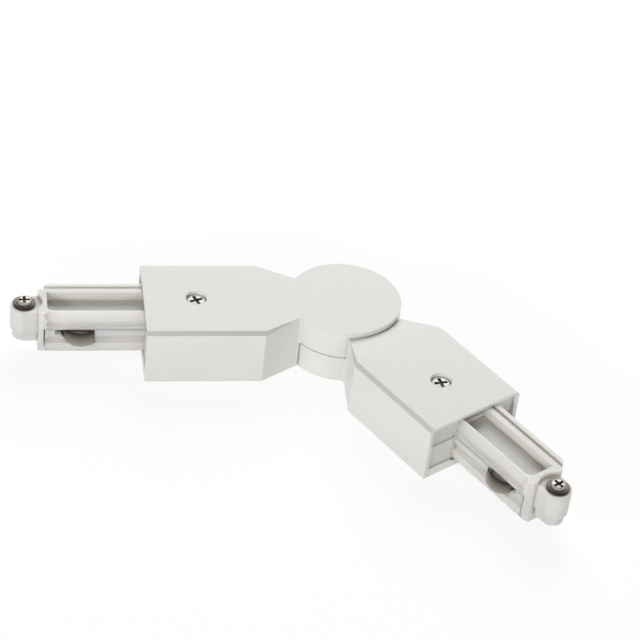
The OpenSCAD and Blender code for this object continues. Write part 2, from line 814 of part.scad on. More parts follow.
// Screw in the nose that draws the foot up against the track
module clamp_screw() {
    top = collar_top + clamp_head_h;
    color(nickel) translate([screw_x, 0, 0]) difference() {
        rotate_extrude() polygon([
            [0, foot_low + 0.2], [clamp_r - 0.3, foot_low + 0.2],
            [clamp_r, foot_low + 0.6], [clamp_r, collar_top], [clamp_head_r, collar_top],
            [clamp_head_r, top - 0.5], [clamp_head_r - 0.4, top - 0.12],
            [clamp_head_r - 1, top], [0, top]
        ]);
        translate([0, 0, top]) cross_recess(clamp_cross, 0.7);
    }
}

// Washer under the clamp screw's head
module clamp_washer() {
    step_z = nose_top + collar_t / 2;
    color(steel_tone) translate([screw_x, 0, 0]) rotate_extrude() polygon([
        [clamp_r + 0.1, nose_top], [collar_r, nose_top], [collar_r, step_z],
        [collar_r - collar_step, step_z], [collar_r - collar_step, collar_top],
        [clamp_r + 0.1, collar_top]
    ]);
}

// Foot under the nose, with the pocket for the nut
module clamp_foot() {
    color(plug_white) translate([0, 0, foot_low]) difference() {
        union() {
            translate([plug_end + 0.2, -foot_r, 0])
                cube([clamp_at - 0.2, 2 * foot_r, foot_h]);
            translate([screw_x, 0, 0]) cylinder(r = foot_r, h = foot_h);
        }
        translate([screw_x, 0, -over]) {
            cylinder(r = clamp_r + small_gap, h = foot_h + 2 * over);
            cylinder(r = nut_r + nut_gap, h = nut_t + nut_gap + over, $fn = 6);
        }
    }
}

// Hexagonal nut in the foot
module clamp_nut() {
    color(nickel) translate([screw_x, 0, foot_low + nut_gap]) difference() {
        cylinder(r = nut_r, h = nut_t, $fn = 6);
        translate([0, 0, -over]) cylinder(r = clamp_r + small_gap, h = nut_t + 2 * over);
    }
}

// Round wire through a list of points, with a round knuckle at each bend
module wire(points) {
    for (i = [0 : len(points) - 2]) {
        run = points[i + 1] - points[i];
        reach = norm(run);
        translate(points[i]) rotate([0, acos(run[2] / reach), atan2(run[1], run[0])])
            cylinder(r = wire_r, h = reach);
        if (i > 0) translate(points[i]) sphere(r = knuckle_r);
    }
}

// Route of a side contact's wire, which crosses the hub at run_z and ends at end_z
function side_route(side, mid_z, run_z, end_z) = [
    [wire_start, side * strip_at, strip_mid],
    [screw_at - post_r - wire_r - wire_gap, side * strip_at, strip_mid],
    [mid_x, side * 3.2 * wire_r, mid_z], [6 * wire_r, side * 3 * wire_r, run_z],
    [pair_x, side * pair_y, run_z], [pair_x, side * pair_y, end_z]
];

// Route of the earth wire in an arm, which passes the screw post on the live side
function earth_route(mid_z, run_z, end_z) =
    let (low = earth_z + strip_t / 2, pass = post_r + wire_r + wire_gap) [
        [wire_start, 0, low], [crimp_from - 1.2 * wire_r, 0, low],
        [screw_at + 0.85 * pass, -pass, low], [screw_at + wire_r, -1.2 * pass, low],
        [screw_at - 0.8 * pass, -1.2 * pass, low], [mid_x, 0, mid_z],
        [6 * wire_r, 0, run_z], [bundle_r, 0, run_z], [bundle_r, 0, end_z]
    ];

// Wires of the upper arm
module upper_live_wire() {
    color([0.5, 0.3, 0.18]) wire(side_route(-1, upper_mid_z, upper_run_z, upper_wire_low));
}
module upper_neutral_wire() {
    color([0.2, 0.35, 0.7]) wire(side_route(1, upper_mid_z, upper_run_z, upper_wire_low));
}
module upper_earth_wire() {
    color([0.35, 0.62, 0.25]) wire(earth_route(upper_mid_z, upper_run_z, upper_wire_low));
}

// Wires of the lower arm
module lower_live_wire() {
    color([0.5, 0.3, 0.18]) wire(side_route(-1, lower_mid_z, lower_run_z, sheath_top));
}
module lower_neutral_wire() {
    color([0.2, 0.35, 0.7]) wire(side_route(1, lower_mid_z, lower_run_z, sheath_top));
}
module lower_earth_wire() {
    color([0.35, 0.62, 0.25]) wire(earth_route(lower_mid_z, lower_run_z, sheath_top));
}

// Hollow pivot that holds the hub's two halves together
module pivot_sleeve() {
    low = lower_deck_low - flange_t;
    color(brass_tone) rotate_extrude() polygon([
        [bore_r, low], [flange_r, low], [flange_r, lower_deck_low],
        [pivot_r, lower_deck_low], [pivot_r, ring_low], [pivot_r - ring_groove, ring_low],
        [pivot_r - ring_groove, groove_top], [pivot_r, groove_top],
        [pivot_r, pivot_top - 0.3], [pivot_r - 0.3, pivot_top], [bore_r, pivot_top]
    ]);
}

// Flat ring from one radius to another
module flat_ring(inner, outer, low, height) {
    translate([0, 0, low]) difference() {
        cylinder(r = outer, h = height);
        translate([0, 0, -over]) cylinder(r = inner, h = height + 2 * over);
    }
}

// Washer between the hub's halves that holds the arms where they are put
module friction_washer() {
    color([0.25, 0.25, 0.26]) flat_ring(pivot_r + 3 * small_gap, friction_r, friction_seat,
        friction_t);
}

// Washer on the upper deck, pressed by the retaining ring
module spring_washer() {
    color(steel_tone) flat_ring(pivot_r + 3 * small_gap, ring_r + 0.8, spring_low, spring_t);
}

// Open ring in the pivot's groove
module retaining_ring() {
    color(steel_tone) difference() {
        flat_ring(pivot_r - ring_groove + small_gap, ring_r, ring_low + play / 2, ring_t);
        translate([0, -1.5, 0]) cube([ring_r + over, 3, arm_h]);
    }
}

// Sheath around the wires in the pivot
module wire_sheath() {
    color([0.85, 0.84, 0.8]) flat_ring(sheath_r - sheath_wall, sheath_r, sheath_low,
        sheath_top - sheath_low);
}

on_upper() upper_cover();
on_upper() upper_base();
on_upper() cover_screw();  // upper_cover_screw
on_upper() plug_top();  // upper_plug_top
on_upper() plug_base();  // upper_plug_base
on_upper() live_contact();  // upper_live_contact
on_upper() neutral_contact();  // upper_neutral_contact
on_upper() earth_contact();  // upper_earth_contact
on_upper() clamp_screw();  // upper_clamp_screw
on_upper() clamp_washer();  // upper_clamp_washer
on_upper() clamp_foot();  // upper_clamp_foot
on_upper() clamp_nut();  // upper_clamp_nut
on_upper() upper_live_wire();
on_upper() upper_neutral_wire();
on_upper() upper_earth_wire();
on_lower() lower_cover();
on_lower() lower_base();
on_lower() cover_screw();  // lower_cover_screw
on_lower() plug_top();  // lower_plug_top
on_lower() plug_base();  // lower_plug_base
on_lower() live_contact();  // lower_live_contact
on_lower() neutral_contact();  // lower_neutral_contact
on_lower() earth_contact();  // lower_earth_contact
on_lower() clamp_screw();  // lower_clamp_screw
on_lower() clamp_washer();  // lower_clamp_washer
on_lower() clamp_foot();  // lower_clamp_foot
on_lower() clamp_nut();  // lower_clamp_nut
on_lower() lower_live_wire();
on_lower() lower_neutral_wire();
on_lower() lower_earth_wire();
on_lower() pivot_sleeve();
on_lower() friction_washer();
on_lower() spring_washer();
on_lower() retaining_ring();
on_lower() wire_sheath();
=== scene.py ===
"""Rotatable track connector: the looks of its pieces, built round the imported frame.

Settings are in metres. Tables of places are in millimetres, and a place on an arm is given
along it from the hub's axis, across it and up.
"""

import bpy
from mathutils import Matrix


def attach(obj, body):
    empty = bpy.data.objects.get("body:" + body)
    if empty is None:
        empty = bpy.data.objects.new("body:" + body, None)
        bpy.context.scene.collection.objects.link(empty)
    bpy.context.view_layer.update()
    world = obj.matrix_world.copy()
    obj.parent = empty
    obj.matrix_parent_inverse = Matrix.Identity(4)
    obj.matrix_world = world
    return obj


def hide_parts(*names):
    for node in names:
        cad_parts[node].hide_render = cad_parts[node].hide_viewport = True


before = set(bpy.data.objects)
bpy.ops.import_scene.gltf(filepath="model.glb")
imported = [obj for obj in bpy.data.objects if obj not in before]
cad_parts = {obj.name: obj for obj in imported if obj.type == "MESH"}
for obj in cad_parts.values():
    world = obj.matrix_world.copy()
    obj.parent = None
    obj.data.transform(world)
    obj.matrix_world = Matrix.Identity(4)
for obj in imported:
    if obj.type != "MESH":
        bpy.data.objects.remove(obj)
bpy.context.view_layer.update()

import math

import bmesh
import bpy
from mathutils import Matrix, Vector

bl_info = {
    "name": "Rotatable track connector",
    "version": (1, 0, 0),
    "blender": (4, 5, 0),
    "location": "View3D > Sidebar > Connector",
    "description": "Dresses the two arms, the plugs and the hub of a track connector",
    "category": "Object",
}

MM = 0.001
WHITE = (1.0, 1.0, 1.0, 1.0)

# The upper arm lies along -X, and the lower arm is turned from +X towards -Y by this angle
ARMS = ("upper", "lower")
FOLD = math.radians(59.5)

# Corners of a node's mesh that lie closer than this are merged
MERGE_DISTANCE = 0.002 * MM

# Faces that turn by less than this from one to the next become one
FLAT_ANGLE = math.radians(0.4)

# Edges that turn by more than this are rounded, in so many steps
SHARP_ANGLE = math.radians(28)
EDGE_STEPS = 2

# How far a face's normal leans up or down, from 0 to 1: a side has less than the first value
# and a level face at least the second, and the slanted edges, which get a painted shade, lie
# between them
SIDE_BELOW = 0.5
LEVEL_FROM = 0.85

# Driver recesses of the screws, whose sunken faces get a painted shade, in millimetres: their
# place along the arm, the top of the head, and the radius inside which its sunken faces lie
RECESSES = {
    "cover_screw": {"along": 46.7, "top": 18.1, "radius": 2.2},
    "clamp_screw": {"along": 99.4, "top": 18.3, "radius": 1.75},
}

# A face between these depths below the top belongs to the recess, in millimetres
RECESS_FROM = 0.06
RECESS_TO = 1.0

# The range that a noise seldom leaves, which each finish turns into a range of its own
NOISE_RANGE = (0.3, 0.7)

# Rays that tell how closed a groove is, for the painted shade in it
GROOVE_RAYS = 6

# Shared by the case's finishes: the painted shade in its grooves and corners and how wide
# they may be, and how much of the light goes below the surface and how deep
CASE_GROOVE_SHADE = {"shade": (0.84, 0.80, 0.73), "reach": 0.8 * MM}
CASE_SCATTER = {"weight": 0.06, "depth": 1.2 * MM}

# Painted shade: the colour of the case's slanted edges, as a share of the case's own, made darker
# to stand for the shade they fall in
PAINTED_EDGE_SHADE = 0.8

# Plastic's index of refraction, and the shares of a depth that red, green and blue reach
PLASTIC_IOR = 1.5
SCATTER_SHARES = (1.0, 0.95, 0.8)

# Heights between which the contacts' sprung leaves go from a painted reflection, low, to painted
# shade higher up, in millimetres
LEAF_HEIGHTS = (6.6, 11.4)

# Routes of the wires: each starts in its contact's crimp, and the earth wire goes round the
# screw's post on the live side
WIRE_STARTS = {
    "live": [(55.0, -4.75, 9.7), (42.0, -4.75, 9.7)],
    "neutral": [(55.0, 4.75, 9.7), (42.0, 4.75, 9.7)],
    "earth": [
        (55.0, 0.0, 5.25),
        (51.4, 0.0, 5.25),
        (50.7, -4.7, 5.25),
        (47.7, -5.64, 5.25),
        (42.94, -5.64, 5.25),
    ],
}

# Then along and across: in the arm's neck, beside the pivot, and inside it, where the three
# wires stand 120 degrees apart
WIRE_TURNS = {
    "live": [(25.6, -3.2), (6.0, -3.0), (-1.15, -1.992)],
    "neutral": [(25.6, 3.2), (6.0, 3.0), (-1.15, 1.992)],
    "earth": [(25.6, 0.0), (6.0, 0.0), (2.3, 0.0)],
}

# And up: in the neck, across the hub and at the wire's end
WIRE_HEIGHTS = {"upper": (13.65, 14.9, 13.3), "lower": (4.3, 3.4, 13.0)}

# Each wire's insulation, and the record's slot for it
WIRE_COATS = {
    "live": {"slot": "wire_brown", "name": "brown insulation", "colour": (0.20, 0.09, 0.04)},
    "neutral": {"slot": "wire_blue", "name": "blue insulation", "colour": (0.03, 0.12, 0.42)},
    "earth": {"slot": "wire_green", "name": "green insulation", "colour": (0.14, 0.36, 0.05)},
}

# Points in a wire's bend and corners round it
BEND_POINTS = 8
WIRE_SIDES = 20

# Lamps, in metres: their place, and the width and height of their lit face
WIDE_LAMP = (1.2, 0.14)
LAMPS = {
    "key": ((0.19, 0.93, 0.74), (0.9, 0.9)),
    "fill": ((-0.95, -0.75, 0.42), WIDE_LAMP),
    "front": ((0.05, -1.2, 0.45), WIDE_LAMP),
    "side": ((1.15, -0.37, 0.08), WIDE_LAMP),
}

# The floor's half width in metres, how much light it throws back on the object, and the share
# of its seen white that comes from the lamps, and so carries the shadow; the rest glows
FLOOR_HALF = 4.0
FLOOR_COLOUR = 0.92
FLOOR_SHADE = 0.16

# How far the photo's camera is turned, raised and rolled, in degrees, and where the foot of
# the hub's axis lies in its view, in millimetres to the right, up and back
CAMERA_TURNS = (-11.80, 37.91, 7.26)
HUB_IN_VIEW = (6.02, -7.94, -718.36)

# Options that settings of one kind share
COLOUR = {"subtype": "COLOR", "size": 3, "min": 0, "max": 1}
LENGTH = {"subtype": "DISTANCE", "unit": "LENGTH"}
POWER = {"subtype": "POWER", "unit": "POWER", "min": 0, "max": 50}


# Settings


class CaseSettings(bpy.types.PropertyGroup):
    """Finish and edges of the covers and bases"""

    colour: bpy.props.FloatVectorProperty(
        name="Case colour",
        description="Colour of the moulded case",
        default=(0.80, 0.793, 0.762),
        **COLOUR,
    )
    rounding: bpy.props.FloatProperty(
        name="Edge rounding",
        description="Radius of the case's moulded edges",
        min=0.02 * MM,
        max=0.5 * MM,
        default=0.22 * MM,
        **LENGTH,
    )
    grain: bpy.props.FloatProperty(
        name="Grain",
        description="Number of grains of the level faces' texture in a metre",
        min=500,
        max=9000,
        default=1900,
    )


class PlugSettings(bpy.types.PropertyGroup):
    """Finish and edges of the plugs' mouldings"""

    colour: bpy.props.FloatVectorProperty(
        name="Plug colour",
        description="Colour of the plug's mouldings",
        default=(0.73, 0.72, 0.685),
        **COLOUR,
    )
    rounding: bpy.props.FloatProperty(
        name="Edge rounding",
        description="Radius of the plug's edges",
        min=0.02 * MM,
        max=0.4 * MM,
        default=0.14 * MM,
        **LENGTH,
    )
    roughness: bpy.props.FloatProperty(
        name="Roughness",
        description="Roughness of the plug's surface",
        subtype="FACTOR",
        min=0,
        max=1,
        default=0.46,
    )


class MetalSettings(bpy.types.PropertyGroup):
    """Finishes and edges of the screws, washers, nuts and contacts"""

    nickel: bpy.props.FloatVectorProperty(
        name="Nickel colour",
        description="Colour of the plated clamp screws and nuts",
        default=(0.26, 0.245, 0.22),
        **COLOUR,
    )
    contact: bpy.props.FloatVectorProperty(
        name="Contact colour",
        description="Colour of the sprung contacts",
        default=(0.135, 0.122, 0.105),
        **COLOUR,
    )
    paint: bpy.props.FloatVectorProperty(
        name="Paint colour",
        description="Colour of the painted cover screws",
        default=(0.92, 0.92, 0.90),
        **COLOUR,
    )
    # The collar's dark colour is a painted reflection
    collar: bpy.props.FloatVectorProperty(
        name="Collar colour",
        description="Colour of the dark washer under the clamp screw",
        default=(0.055, 0.047, 0.04),
        **COLOUR,
    )
    rounding: bpy.props.FloatProperty(
        name="Edge rounding",
        description="Radius of the metal pieces' edges",
        min=0.01 * MM,
        max=0.3 * MM,
        default=0.07 * MM,
        **LENGTH,
    )


class WireSettings(bpy.types.PropertyGroup):
    """Sizes of the insulated wires"""

    radius: bpy.props.FloatProperty(
        name="Wire radius",
        description="Radius of a wire with its insulation",
        min=0.5 * MM,
        max=1.05 * MM,
        default=1.0 * MM,
        **LENGTH,
    )
    bend: bpy.props.FloatProperty(
        name="Bend radius",
        description="Radius of a wire's bends",
        min=1.0 * MM,
        max=3.0 * MM,
        default=1.4 * MM,
        **LENGTH,
    )


class StageSettings(bpy.types.PropertyGroup):
    """Light and lens of the studio"""

    world: bpy.props.FloatProperty(
        name="World light",
        description="Strength of the even light from all round",
        min=0,
        max=2,
        default=0.11,
    )
    key: bpy.props.FloatProperty(
        name="Key light",
        description="Power of the high square lamp behind",
        default=11.6,
        **POWER,
    )
    fill: bpy.props.FloatProperty(
        name="Fill light",
        description="Power of the wide lamp in front on the left",
        default=7.5,
        **POWER,
    )
    front: bpy.props.FloatProperty(
        name="Front light",
        description="Power of the wide lamp straight in front",
        default=5.1,
        **POWER,
    )
    side: bpy.props.FloatProperty(
        name="Side light",
        description="Power of the wide lamp low on the right",
        default=1.4,
        **POWER,
    )
    lens: bpy.props.FloatProperty(
        name="Lens",
        description="Focal length of the camera",
        subtype="DISTANCE_CAMERA",
        unit="CAMERA",
        min=20,
        max=300,
        default=127.35,
    )


SETTINGS = {
    "connector_case": CaseSettings,
    "connector_plug": PlugSettings,
    "connector_metal": MetalSettings,
    "connector_wire": WireSettings,
    "connector_stage": StageSettings,
}


# Finishes


def map_range(tree, source, given, wanted):
    """Turns a source's given range into a wanted one."""
    node = tree.nodes.new("ShaderNodeMapRange")
    for word, ends in (("From", given), ("To", wanted)):
        node.inputs[f"{word} Min"].default_value = ends[0]
        node.inputs[f"{word} Max"].default_value = ends[1]
    tree.links.new(source, node.inputs["Value"])
    return node.outputs["Result"]


class Finish:
    """A principled material with the few nodes that the connector's finishes share."""

    def __init__(self, name, colour, roughness, metallic=0.0):
        self.material = bpy.data.materials.new(name)
        self.material.use_nodes = True
        self.tree = self.material.node_tree
        self.shader = self.tree.nodes["Principled BSDF"]
        self.colour = tuple(colour)
        self.shader.inputs["Base Color"].default_value = (*colour, 1.0)
        self.shader.inputs["Roughness"].default_value = roughness
        self.shader.inputs["Metallic"].default_value = metallic
        self.place = self.tree.nodes.new("ShaderNodeTexCoord").outputs["Object"]

    def noise(self, scale, detail=2.0, rough=0.5, stretch=None):
        """A noise over the object's own coordinates, scaled along each axis if asked."""
        place = self.place
        if stretch:
            mapping = self.tree.nodes.new("ShaderNodeMapping")
            mapping.inputs["Scale"].default_value = stretch
            self.tree.links.new(place, mapping.inputs["Vector"])
            place = mapping.outputs["Vector"]
        node = self.tree.nodes.new("ShaderNodeTexNoise")
        node.inputs["Scale"].default_value = scale
        node.inputs["Detail"].default_value = detail
        node.inputs["Roughness"].default_value = rough
        self.tree.links.new(place, node.inputs["Vector"])
        return node.outputs["Fac"]

    def height(self, band):
        """A source that rises over a band of heights, in the range that a noise has."""
        split = self.tree.nodes.new("ShaderNodeSeparateXYZ")
        self.tree.links.new(self.place, split.inputs["Vector"])
        metres = [end * MM for end in band]
        return map_range(self.tree, split.outputs["Z"], metres, NOISE_RANGE)

    def tint(self, source, low, high):
        """Multiplies the colour by low where the source is low, and by high where it is high."""
        ramp = self.tree.nodes.new("ShaderNodeValToRGB")
        for stop, position, share in zip(ramp.color_ramp.elements, NOISE_RANGE, (low, high)):
            stop.position = position
            stop.color = (*[min(1.0, part * share) for part in self.colour], 1.0)
        self.tree.links.new(source, ramp.inputs["Fac"])
        self.tree.links.new(ramp.outputs["Color"], self.shader.inputs["Base Color"])

    def paint_groove_shade(self, shade, reach):
        """Paints shade: multiplies the tinted colour by a shade colour in grooves and corners
        narrower than a reach.
        """
        open_share = self.tree.nodes.new("ShaderNodeAmbientOcclusion")
        open_share.samples = GROOVE_RAYS
        open_share.inputs["Distance"].default_value = reach
        closed_share = map_range(self.tree, open_share.outputs["AO"], (0.0, 1.0), (1.0, 0.0))
        mix = self.tree.nodes.new("ShaderNodeMixRGB")
        mix.blend_type = "MULTIPLY"
        mix.inputs["Color2"].default_value = (*shade, 1.0)
        colour = self.shader.inputs["Base Color"]
        self.tree.links.new(closed_share, mix.inputs["Fac"])
        self.tree.links.new(colour.links[0].from_socket, mix.inputs["Color1"])
        self.tree.links.new(mix.outputs["Color"], colour)

    def roughness(self, source, low, high):
        """Varies the roughness with a source, from low to high."""
        spread = map_range(self.tree, source, NOISE_RANGE, (low, high))
        self.tree.links.new(spread, self.shader.inputs["Roughness"])

    def bump(self, source, strength, distance):
        """Raises the surface with a source, on top of any bump that is already there."""
        node = self.tree.nodes.new("ShaderNodeBump")
        node.inputs["Strength"].default_value = strength
        node.inputs["Distance"].default_value = distance
        self.tree.links.new(source, node.inputs["Height"])
        normal = self.shader.inputs["Normal"]
        if normal.is_linked:
            self.tree.links.new(normal.links[0].from_socket, node.inputs["Normal"])
        self.tree.links.new(node.outputs["Normal"], normal)

    def let_light_in(self, weight, depth):
        """Scatters a share of the light below the surface, as moulded plastic does."""
        self.shader.inputs["IOR"].default_value = PLASTIC_IOR
        self.shader.inputs["Subsurface Weight"].default_value = weight
        self.shader.inputs["Subsurface Radius"].default_value = SCATTER_SHARES
        self.shader.inputs["Subsurface Scale"].default_value = depth


def case_top_plastic(settings):
    """Warm white plastic with the fine grain of an etched mould, for the level faces."""
    finish = Finish("case plastic, grained", settings.colour, roughness=0.5)
    grain = finish.noise(settings.grain, detail=3.0, rough=0.7)
    finish.tint(grain, low=0.87, high=1.11)
    finish.paint_groove_shade(**CASE_GROOVE_SHADE)
    finish.roughness(grain, low=0.42, high=0.58)
    finish.bump(grain, strength=0.35, distance=0.04 * MM)
    finish.let_light_in(**CASE_SCATTER)
    return finish.material


def case_side_plastic(settings, name, shade):
    """The same plastic with a smooth satin face, in a share of the case's colour; a share below
    one is painted shade.
    """
    finish = Finish(name, [part * shade for part in settings.colour], roughness=0.34)
    finish.tint(finish.noise(55.0, detail=3.0), low=0.975, high=1.015)
    finish.paint_groove_shade(**CASE_GROOVE_SHADE)
    finish.roughness(finish.noise(settings.grain, detail=1.5), low=0.3, high=0.38)
    finish.bump(finish.noise(140.0, detail=1.0), strength=0.12, distance=0.04 * MM)
    finish.let_light_in(**CASE_SCATTER)
    return finish.material


def plug_plastic(settings):
    """White plastic that lets more light in, with faint marks of its flow in the mould."""
    finish = Finish("plug plastic", settings.colour, settings.roughness)
    flow = finish.noise(90.0, detail=4.0, rough=0.55, stretch=(0.35, 0.35, 1.0))
    finish.tint(flow, low=0.965, high=1.02)
    # Painted shade, yellowish, in the plug's grooves and corners
    finish.paint_groove_shade(shade=(0.78, 0.73, 0.63), reach=1.4 * MM)
    patches = finish.noise(900.0)
    finish.roughness(patches, low=settings.roughness - 0.05, high=settings.roughness + 0.07)
    finish.bump(flow, strength=0.1, distance=0.03 * MM)
    finish.bump(finish.noise(2600.0, detail=1.0), strength=0.12, distance=0.01 * MM)
    finish.let_light_in(weight=0.8, depth=4.0 * MM)
    return finish.material


def white_paint(colour):
    """Stoved paint on the cover screws."""
    finish = Finish("white paint", colour, roughness=0.38)
    finish.tint(finish.noise(500.0), low=0.97, high=1.02)
    orange_peel = finish.noise(1500.0, detail=1.0)
    finish.roughness(orange_peel, low=0.33, high=0.44)
    finish.bump(orange_peel, strength=0.2, distance=0.02 * MM)
    return finish.material


def painted_recess_shade():
    """A dark, partly metallic colour for the inside of a driver recess: painted shade."""
    finish = Finish("recess metal", (0.035, 0.033, 0.031), roughness=0.55, metallic=0.4)
    # The painted shade's colour and roughness vary at random
    mottle = finish.noise(2500.0, detail=3.0)
    finish.tint(mottle, low=0.6, high=1.5)
    finish.roughness(mottle, low=0.45, high=0.7)
    return finish.material


def nickel_plate(colour):
    """Nickel plating with faint rolling marks."""
    finish = Finish("nickel plate", colour, roughness=0.45, metallic=1.0)
    finish.tint(finish.noise(260.0, detail=3.0), low=0.92, high=1.04)
    marks = finish.noise(1400.0, detail=3.0, rough=0.6, stretch=(0.12, 0.12, 1.0))
    finish.roughness(marks, low=0.38, high=0.52)
    finish.bump(marks, strength=0.12, distance=0.01 * MM)
    return finish.material


def contact_plate(colour):
    """Dull plating of the sprung contacts, brighter low on a leaf and darker higher up: painted
    reflection below and painted shade above.
    """
    finish = Finish("contact plate", colour, roughness=0.3, metallic=1.0)
    # Painted light: three times the plate's colour low on a leaf, for a reflection of the floor,
    # and 0.35 of it higher up, for shade under the ledge
    finish.tint(finish.height(LEAF_HEIGHTS), low=3.0, high=0.35)
    # Painted shade in the contacts' grooves and corners
    finish.paint_groove_shade(shade=(0.42, 0.38, 0.34), reach=2.0 * MM)
    marks = finish.noise(1400.0, detail=3.0, rough=0.6, stretch=(0.12, 0.12, 1.0))
    finish.roughness(marks, low=0.24, high=0.38)
    return finish.material


def painted_reflection_plate(colour):
    """Dark plating of the washer under the clamp screw: its dark colour is a painted reflection.
    """
    finish = Finish("dark plate", colour, roughness=0.34, metallic=0.9)
    wear = finish.noise(900.0, detail=4.0)
    finish.tint(wear, low=0.75, high=1.3)
    finish.roughness(wear, low=0.28, high=0.45)
    finish.bump(wear, strength=0.15, distance=0.01 * MM)
    return finish.material


def turned_brass():
    """Brass with fine marks of turning."""
    finish = Finish("turned brass", (0.72, 0.53, 0.25), roughness=0.28, metallic=1.0)
    marks = finish.noise(3000.0, detail=1.0, stretch=(0.02, 0.02, 1.0))
    finish.tint(finish.noise(300.0), low=0.9, high=1.05)
    finish.roughness(marks, low=0.22, high=0.36)
    finish.bump(marks, strength=0.2, distance=0.01 * MM)
    return finish.material


def spring_steel():
    """Bare spring steel."""
    finish = Finish("spring steel", (0.46, 0.46, 0.47), roughness=0.32, metallic=1.0)
    marks = finish.noise(1800.0, stretch=(0.2, 1.0, 1.0))
    finish.tint(finish.noise(350.0, detail=3.0), low=0.85, high=1.08)
    finish.roughness(marks, low=0.26, high=0.42)
    return finish.material


def soft_plastic(name, colour):
    """Matt extruded plastic, as on wires, the sheath and the friction washer."""
    finish = Finish(name, colour, roughness=0.5)
    finish.tint(finish.noise(400.0), low=0.92, high=1.05)
    finish.roughness(finish.noise(2000.0, detail=1.0), low=0.42, high=0.6)
    finish.bump(finish.noise(1600.0), strength=0.15, distance=0.01 * MM)
    return finish.material


# Shapes


def on_arm(arm, point):
    """A point of an arm, drawn along +X in millimetres, in the frame's metres."""
    x, y, z = point
    if arm == "upper":
        return Vector((-x, y, z)) * MM
    turned = Matrix.Rotation(-FOLD, 3, "Z") @ Vector((x, y, z))
    return turned * MM


def body_of_arm(arm):
    """The name of the body that an arm's pieces ride on."""
    return f"{arm}_arm"


def clean_copy(node):
    """A copy of a node's mesh with its triangles merged into whole faces."""
    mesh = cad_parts[node].data.copy()
    mesh.name = f"{node}_skin"
    mesh.materials.clear()
    shape = bmesh.new()
    shape.from_mesh(mesh)
    bmesh.ops.remove_doubles(shape, verts=shape.verts, dist=MERGE_DISTANCE)
    bmesh.ops.dissolve_degenerate(shape, edges=shape.edges, dist=MERGE_DISTANCE)
    bmesh.ops.dissolve_limit(
        shape,
        angle_limit=FLAT_ANGLE,
        use_dissolve_boundaries=False,
        verts=shape.verts,
        edges=shape.edges,
    )
    for face in shape.faces:
        face.smooth = True
    for edge in shape.edges:
        edge.smooth = edge.calc_face_angle(0.0) < SHARP_ANGLE
    shape.to_mesh(mesh)
    shape.free()
    return mesh


def soften(piece, width):
    """Rounds a piece's edges and keeps the result as a plain mesh."""
    bevel = piece.modifiers.new("edges", "BEVEL")
    bevel.width = width
    bevel.segments = EDGE_STEPS
    bevel.limit_method = "ANGLE"
    bevel.angle_limit = SHARP_ANGLE
    bevel.harden_normals = True
    bevel.use_clamp_overlap = True
    graph = bpy.context.evaluated_depsgraph_get()
    rounded = bpy.data.meshes.new_from_object(piece.evaluated_get(graph))
    piece.modifiers.clear()
    piece.data = rounded


def dress(node, name, width, material):
    """Makes a rounded piece that stands for a node and rides on its body."""
    piece = bpy.data.objects.new(name, clean_copy(node))
    bpy.context.scene.collection.objects.link(piece)
    soften(piece, width)
    piece.data.materials.append(material)
    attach(piece, body_of_arm(node.split("_")[0]))
    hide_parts(node)
    return piece


def repaint(node, material):
    """Gives a node that stays as it is a finish of its own."""
    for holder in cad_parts[node].material_slots:
        holder.link = "OBJECT"
        holder.material = material


def finish_sides(piece, side, edge):
    """Gives the sides of a case piece one finish and its slanted edges another, darker one with
    painted shade.
    """
    piece.data.materials.append(side)
    piece.data.materials.append(edge)
    for face in piece.data.polygons:
        if abs(face.normal.z) < SIDE_BELOW:
            face.material_index = 1
        elif abs(face.normal.z) < LEVEL_FROM:
            face.material_index = 2


def darken_recess(piece, arm, recess, material):
    """Gives the sunken faces of a screw's head a dark material of their own, painted shade."""
    piece.data.materials.append(material)
    centre = on_arm(arm, (recess["along"], 0, 0))
    for face in piece.data.polygons:
        away = (face.center - centre).to_2d().length / MM
        below = recess["top"] - face.center.z / MM
        if away < recess["radius"] and RECESS_FROM < below < RECESS_TO:
            face.material_index = 1


# Wires


def wire_tree():
    """A node tree that turns a chain of edges into a round wire with round bends."""
    tree = bpy.data.node_groups.new("wire along route", "GeometryNodeTree")
    face = tree.interface
    face.new_socket("Route", in_out="INPUT", socket_type="NodeSocketGeometry")
    face.new_socket("Radius", in_out="INPUT", socket_type="NodeSocketFloat")
    face.new_socket("Bend", in_out="INPUT", socket_type="NodeSocketFloat")
    face.new_socket("Insulation", in_out="INPUT", socket_type="NodeSocketMaterial")
    face.new_socket("Wire", in_out="OUTPUT", socket_type="NodeSocketGeometry")
    make = tree.nodes.new
    link = tree.links.new
    given = make("NodeGroupInput")
    result = make("NodeGroupOutput")
    to_curve = make("GeometryNodeMeshToCurve")
    fillet = make("GeometryNodeFilletCurve")
    fillet.mode = "POLY"
    fillet.inputs["Count"].default_value = BEND_POINTS
    profile = make("GeometryNodeCurvePrimitiveCircle")
    profile.inputs["Resolution"].default_value = WIRE_SIDES
    sweep = make("GeometryNodeCurveToMesh")
    sweep.inputs["Fill Caps"].default_value = True
    realize = make("GeometryNodeRealizeInstances")
    paint = make("GeometryNodeSetMaterial")
    link(given.outputs["Route"], to_curve.inputs["Mesh"])
    link(to_curve.outputs["Curve"], fillet.inputs["Curve"])
    link(given.outputs["Bend"], fillet.inputs["Radius"])
    link(fillet.outputs["Curve"], sweep.inputs["Curve"])
    link(given.outputs["Radius"], profile.inputs["Radius"])
    link(profile.outputs["Curve"], sweep.inputs["Profile Curve"])
    link(sweep.outputs["Mesh"], realize.inputs["Geometry"])
    link(realize.outputs["Geometry"], paint.inputs["Geometry"])
    link(given.outputs["Insulation"], paint.inputs["Material"])
    link(paint.outputs["Geometry"], result.inputs["Wire"])
    return tree


